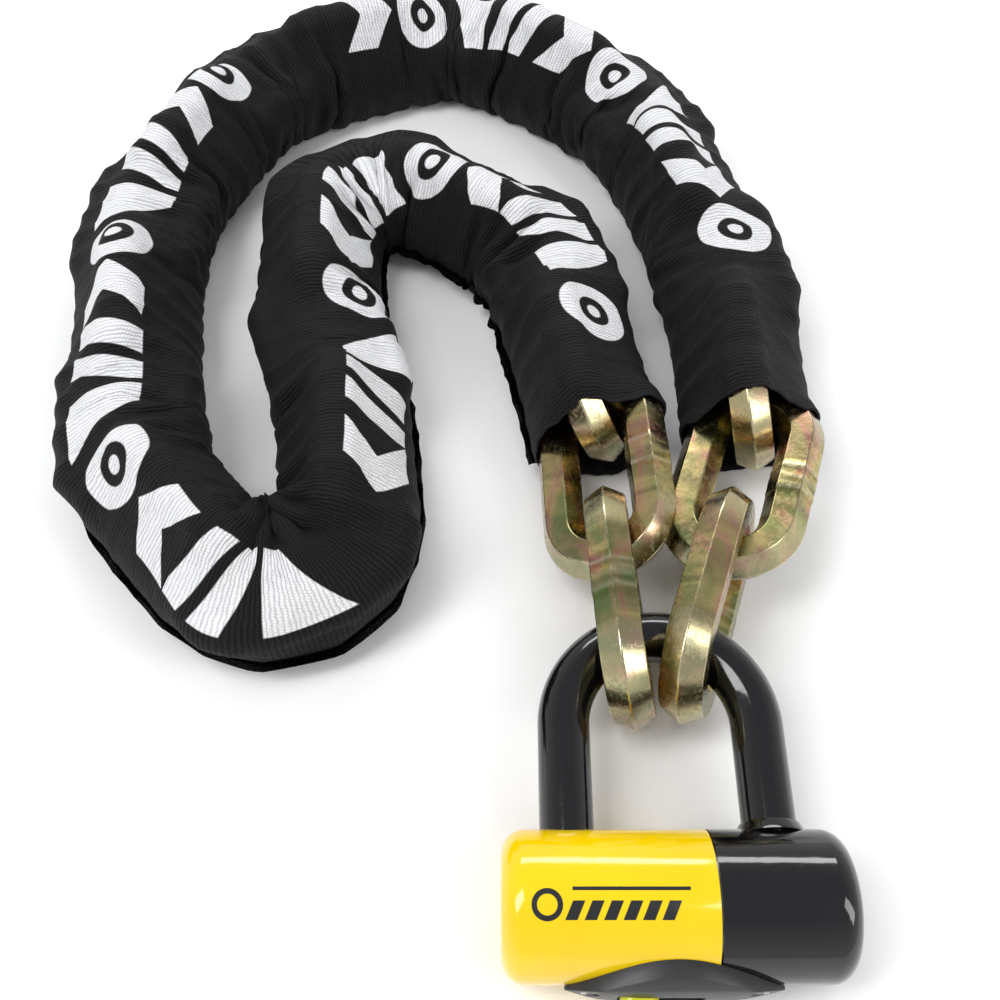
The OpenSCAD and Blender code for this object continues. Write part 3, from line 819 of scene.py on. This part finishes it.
def hem_block(mouth_row, step):
    """The cut end turns in at a mouth and runs back inside."""
    rows = [mouth_row + step * q for q in (0, 0, 1, 2, 4, 7, 11)]
    depth = np.array([0.0, 0.0007, 0.0013, 0.0016, 0.0018, 0.0019, 0.0020])
    along = np.concatenate([FINE_ALONG[mouth_row], [0]])
    pts = np.stack([TUBE[r] - TUBE_OUT[r] * d for r, d in zip(rows, depth)])
    pts[0] = TUBE[mouth_row]
    pts[1] -= along * 0.0006 * step
    out = np.stack([-TUBE_OUT[r] for r in rows])
    out[0] = TUBE_OUT[mouth_row]
    out[1] = -along[None] * step
    uv = np.stack([TUBE_UV[r] for r in rows])
    if step > 0:
        return pts[::-1], out[::-1], uv[::-1], True
    return pts, out, uv, True


def make_sleeve():
    """One piece for each pair of links, cut at the links' middles; edge rows are shared."""
    cuts = [int(np.argmin(np.abs(FINE_S - LINK_S[k]))) for k in range(3, LINK_COUNT - 1)]
    bounds = [0] + cuts + [FINE_RINGS - 1]
    for k, (i0, i1) in enumerate(zip(bounds[:-1], bounds[1:]), 2):
        rows = slice(i0, i1 + 1)
        blocks = [(TUBE[rows], TUBE_OUT[rows], TUBE_UV[rows], True)] + flange_blocks(rows)
        length = float(FINE_S[i1] - FINE_S[i0])
        for here, mouth_row, step in ((k == 2, 0, 1), (k == LINK_COUNT - 2, FINE_RINGS - 1, -1)):
            if here:
                blocks.append(hem_block(mouth_row, step))
                length += HEM_LENGTH
        o = grid_mesh(f"sleeve_{k:02d}_{k + 1:02d}", blocks)
        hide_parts("sleeve")
        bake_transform(o)


make_sleeve()

# ---------------------------------------------------------------- visible links: rounded ridges and welds
zinc = zinc_material()
EDGE_ROUND = 0.00085
LEG_STEPS, BEND_STEPS = 26, 26


def hex_profile(r, steps=3):
    """Rounded hexagon, corners at 0, 60, ... degrees; across corners 2r."""
    pts = []
    inset = r - EDGE_ROUND / math.cos(math.radians(30))
    for q in range(6):
        a = math.radians(60 * q)
        for w in np.linspace(-30, 30, steps):
            b = a + math.radians(w)
            x = inset * math.cos(a) + EDGE_ROUND * math.cos(b)
            y = inset * math.sin(a) + EDGE_ROUND * math.sin(b)
            pts.append((x, y))
    return np.array(pts)


def link_stations():
    """Round a link: place along and across, outward direction, and which leg with the place on it."""
    stations = []
    for side, end in ((1, 1), (-1, -1)):
        for q in np.linspace(-HALF_STRAIGHT * end, HALF_STRAIGHT * end, LEG_STEPS, endpoint=False):
            stations.append((q, side * BEND_R, 0.0, float(side), side, q))
        top = math.pi / 2 * side
        for w in np.linspace(top, top - math.pi, BEND_STEPS, endpoint=False):
            x = HALF_STRAIGHT * end + BEND_R * math.cos(w)
            stations.append((x, BEND_R * math.sin(w), math.cos(w), math.sin(w), 0, 0))
    return stations


def weld_swell(profile, q, rng):
    """The bar's section at the weld: a flattened swelling between two raised lips."""
    g = math.exp(-((q - 0.001) / 0.0042) ** 2)
    lip = math.exp(-((q - 0.0052) / 0.0010) ** 2) + math.exp(-((q + 0.0040) / 0.0009) ** 2)
    radius = np.linalg.norm(profile, axis=1)
    box = np.maximum(np.abs(profile[:, 0]), np.abs(profile[:, 1]))
    flatten = 1.0 - 0.5 * (radius - box) / radius.max()
    profile = profile * (1 + 0.035 * g * flatten + 0.035 * lip)[:, None]
    return profile + rng.normal(0, 0.00005, profile.shape) * g


def make_link(k, weld_side, seed):
    middle, long_axis, across, normal = LINKS[k]
    rng = np.random.default_rng(seed)
    profile = hex_profile(BAR_R - 0.00002)
    stations = link_stations()
    verts = []
    for px, py, ox, oy, leg, q in stations:
        section = weld_swell(profile, q, rng) if leg == weld_side else profile
        for u, w in section:
            verts.append(middle + long_axis * (px + ox * u) + across * (py + oy * u) + normal * w)
    m, rings = len(profile), len(stations)
    faces, bar_uv = [], []
    corner_steps = m // 6
    for i in range(rings):
        here, there = i * m, (i + 1) % rings * m
        for j in range(m):
            following = (j + 1) % m
            faces.append((here + j, here + following, there + following, there + j))
            facet = ((j + corner_steps - 1) // corner_steps) % 6 + 0.5 + 7.0 * k
            bar_uv += [(i, facet), (i, facet), (i + 1, facet), (i + 1, facet)]
    me = bpy.data.meshes.new(f"chain_link_{k:02d}")
    me.from_pydata([tuple(v) for v in verts], [], faces)
    me.uv_layers.new(name="bar")
    me.uv_layers["bar"].data.foreach_set("uv", np.array(bar_uv, np.float32).ravel())
    me.polygons.foreach_set("use_smooth", [True] * len(me.polygons))
    me.update()
    o = bpy.data.objects.new(f"chain_link_{k:02d}", me)
    scene.collection.objects.link(o)
    bpy.context.view_layer.objects.active = o
    me.materials.append(zinc)
    # outward normals
    bm = bmesh.new()
    bm.from_mesh(me)
    bmesh.ops.recalc_face_normals(bm, faces=bm.faces)
    bm.to_mesh(me)
    bm.free()
    mod = o.modifiers.new("ridge_normals", "WEIGHTED_NORMAL")
    mod.keep_sharp = False
    mod.weight = 100
    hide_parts(f"link_{k:02d}")
    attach(o, f"link_{k:02d}")


# the links that show at the mouths, with the side that each one's weld is on
WELD_SIDE = {1: 1, 2: 1, 3: -1, 23: -1, 24: -1, 25: 1}
for k in range(1, LINK_COUNT + 1):
    if k in WELD_SIDE:
        make_link(k, WELD_SIDE[k], 100 + k)
    else:
        hidden = nodes[f"link_{k:02d}"]
        hidden.data.materials.clear()
        hidden.data.materials.append(zinc)

# ---------------------------------------------------------------- lock
steel = metal_material("hardened_steel", (0.62, 0.62, 0.63), 0.28)
brass = metal_material("turned_brass", (0.80, 0.62, 0.28), 0.24)
yellow = gloss_material("gloss_yellow", (0.94, 0.63, 0.0), 0.12, 0.35, 0.5, generic_print)
black = gloss_material("gloss_black", (0.004, 0.004, 0.005), 0.09, 0.30, 0.5)
vinyl = gloss_material("black_vinyl", (0.004, 0.004, 0.005), 0.11, 0.25, 0.7)
satin = satin_material("satin_black", (0.018, 0.019, 0.021))
lime = gloss_material("lime_moulding", (0.68, 0.68, 0.02), 0.22, 0.3, 0.5)
LOOK = {
    "yellow_cover": yellow,
    "black_cover": black,
    "shackle_coating": vinyl,
    "base_plate": satin,
    "dust_cover": satin,
    "dust_cover_tab": lime,
    "cylinder_housing": brass,
    "key_plug": brass,
    "side_bar": brass,
}
# how far each node's edges are rounded; the coating's shape is round already
EDGE = {
    "yellow_cover": 0.0006,
    "black_cover": 0.0006,
    "base_plate": 0.0009,
    "dust_cover_tab": 0.0007,
    "shackle_coating": 0.0,
}
PLAIN_EDGE = 0.0002


def finish_lock_node(name, ob):
    """Material, welded corners and rounded edges for a node of the lock, kept as CAD made it."""
    ob.data.materials.clear()
    ob.data.materials.append(LOOK.get(name, steel))
    ob.modifiers.new("weld", "WELD").merge_threshold = 0.00001
    width = EDGE.get(name, PLAIN_EDGE)
    if not width:
        return
    bevel = ob.modifiers.new("edge_round", "BEVEL")
    bevel.width = width
    bevel.segments = 3
    bevel.limit_method = "ANGLE"
    bevel.angle_limit = math.radians(32)
    bevel.use_clamp_overlap = True
    bevel.harden_normals = False


for name, ob in nodes.items():
    if not name.startswith("link_") and name != "sleeve":
        finish_lock_node(name, ob)
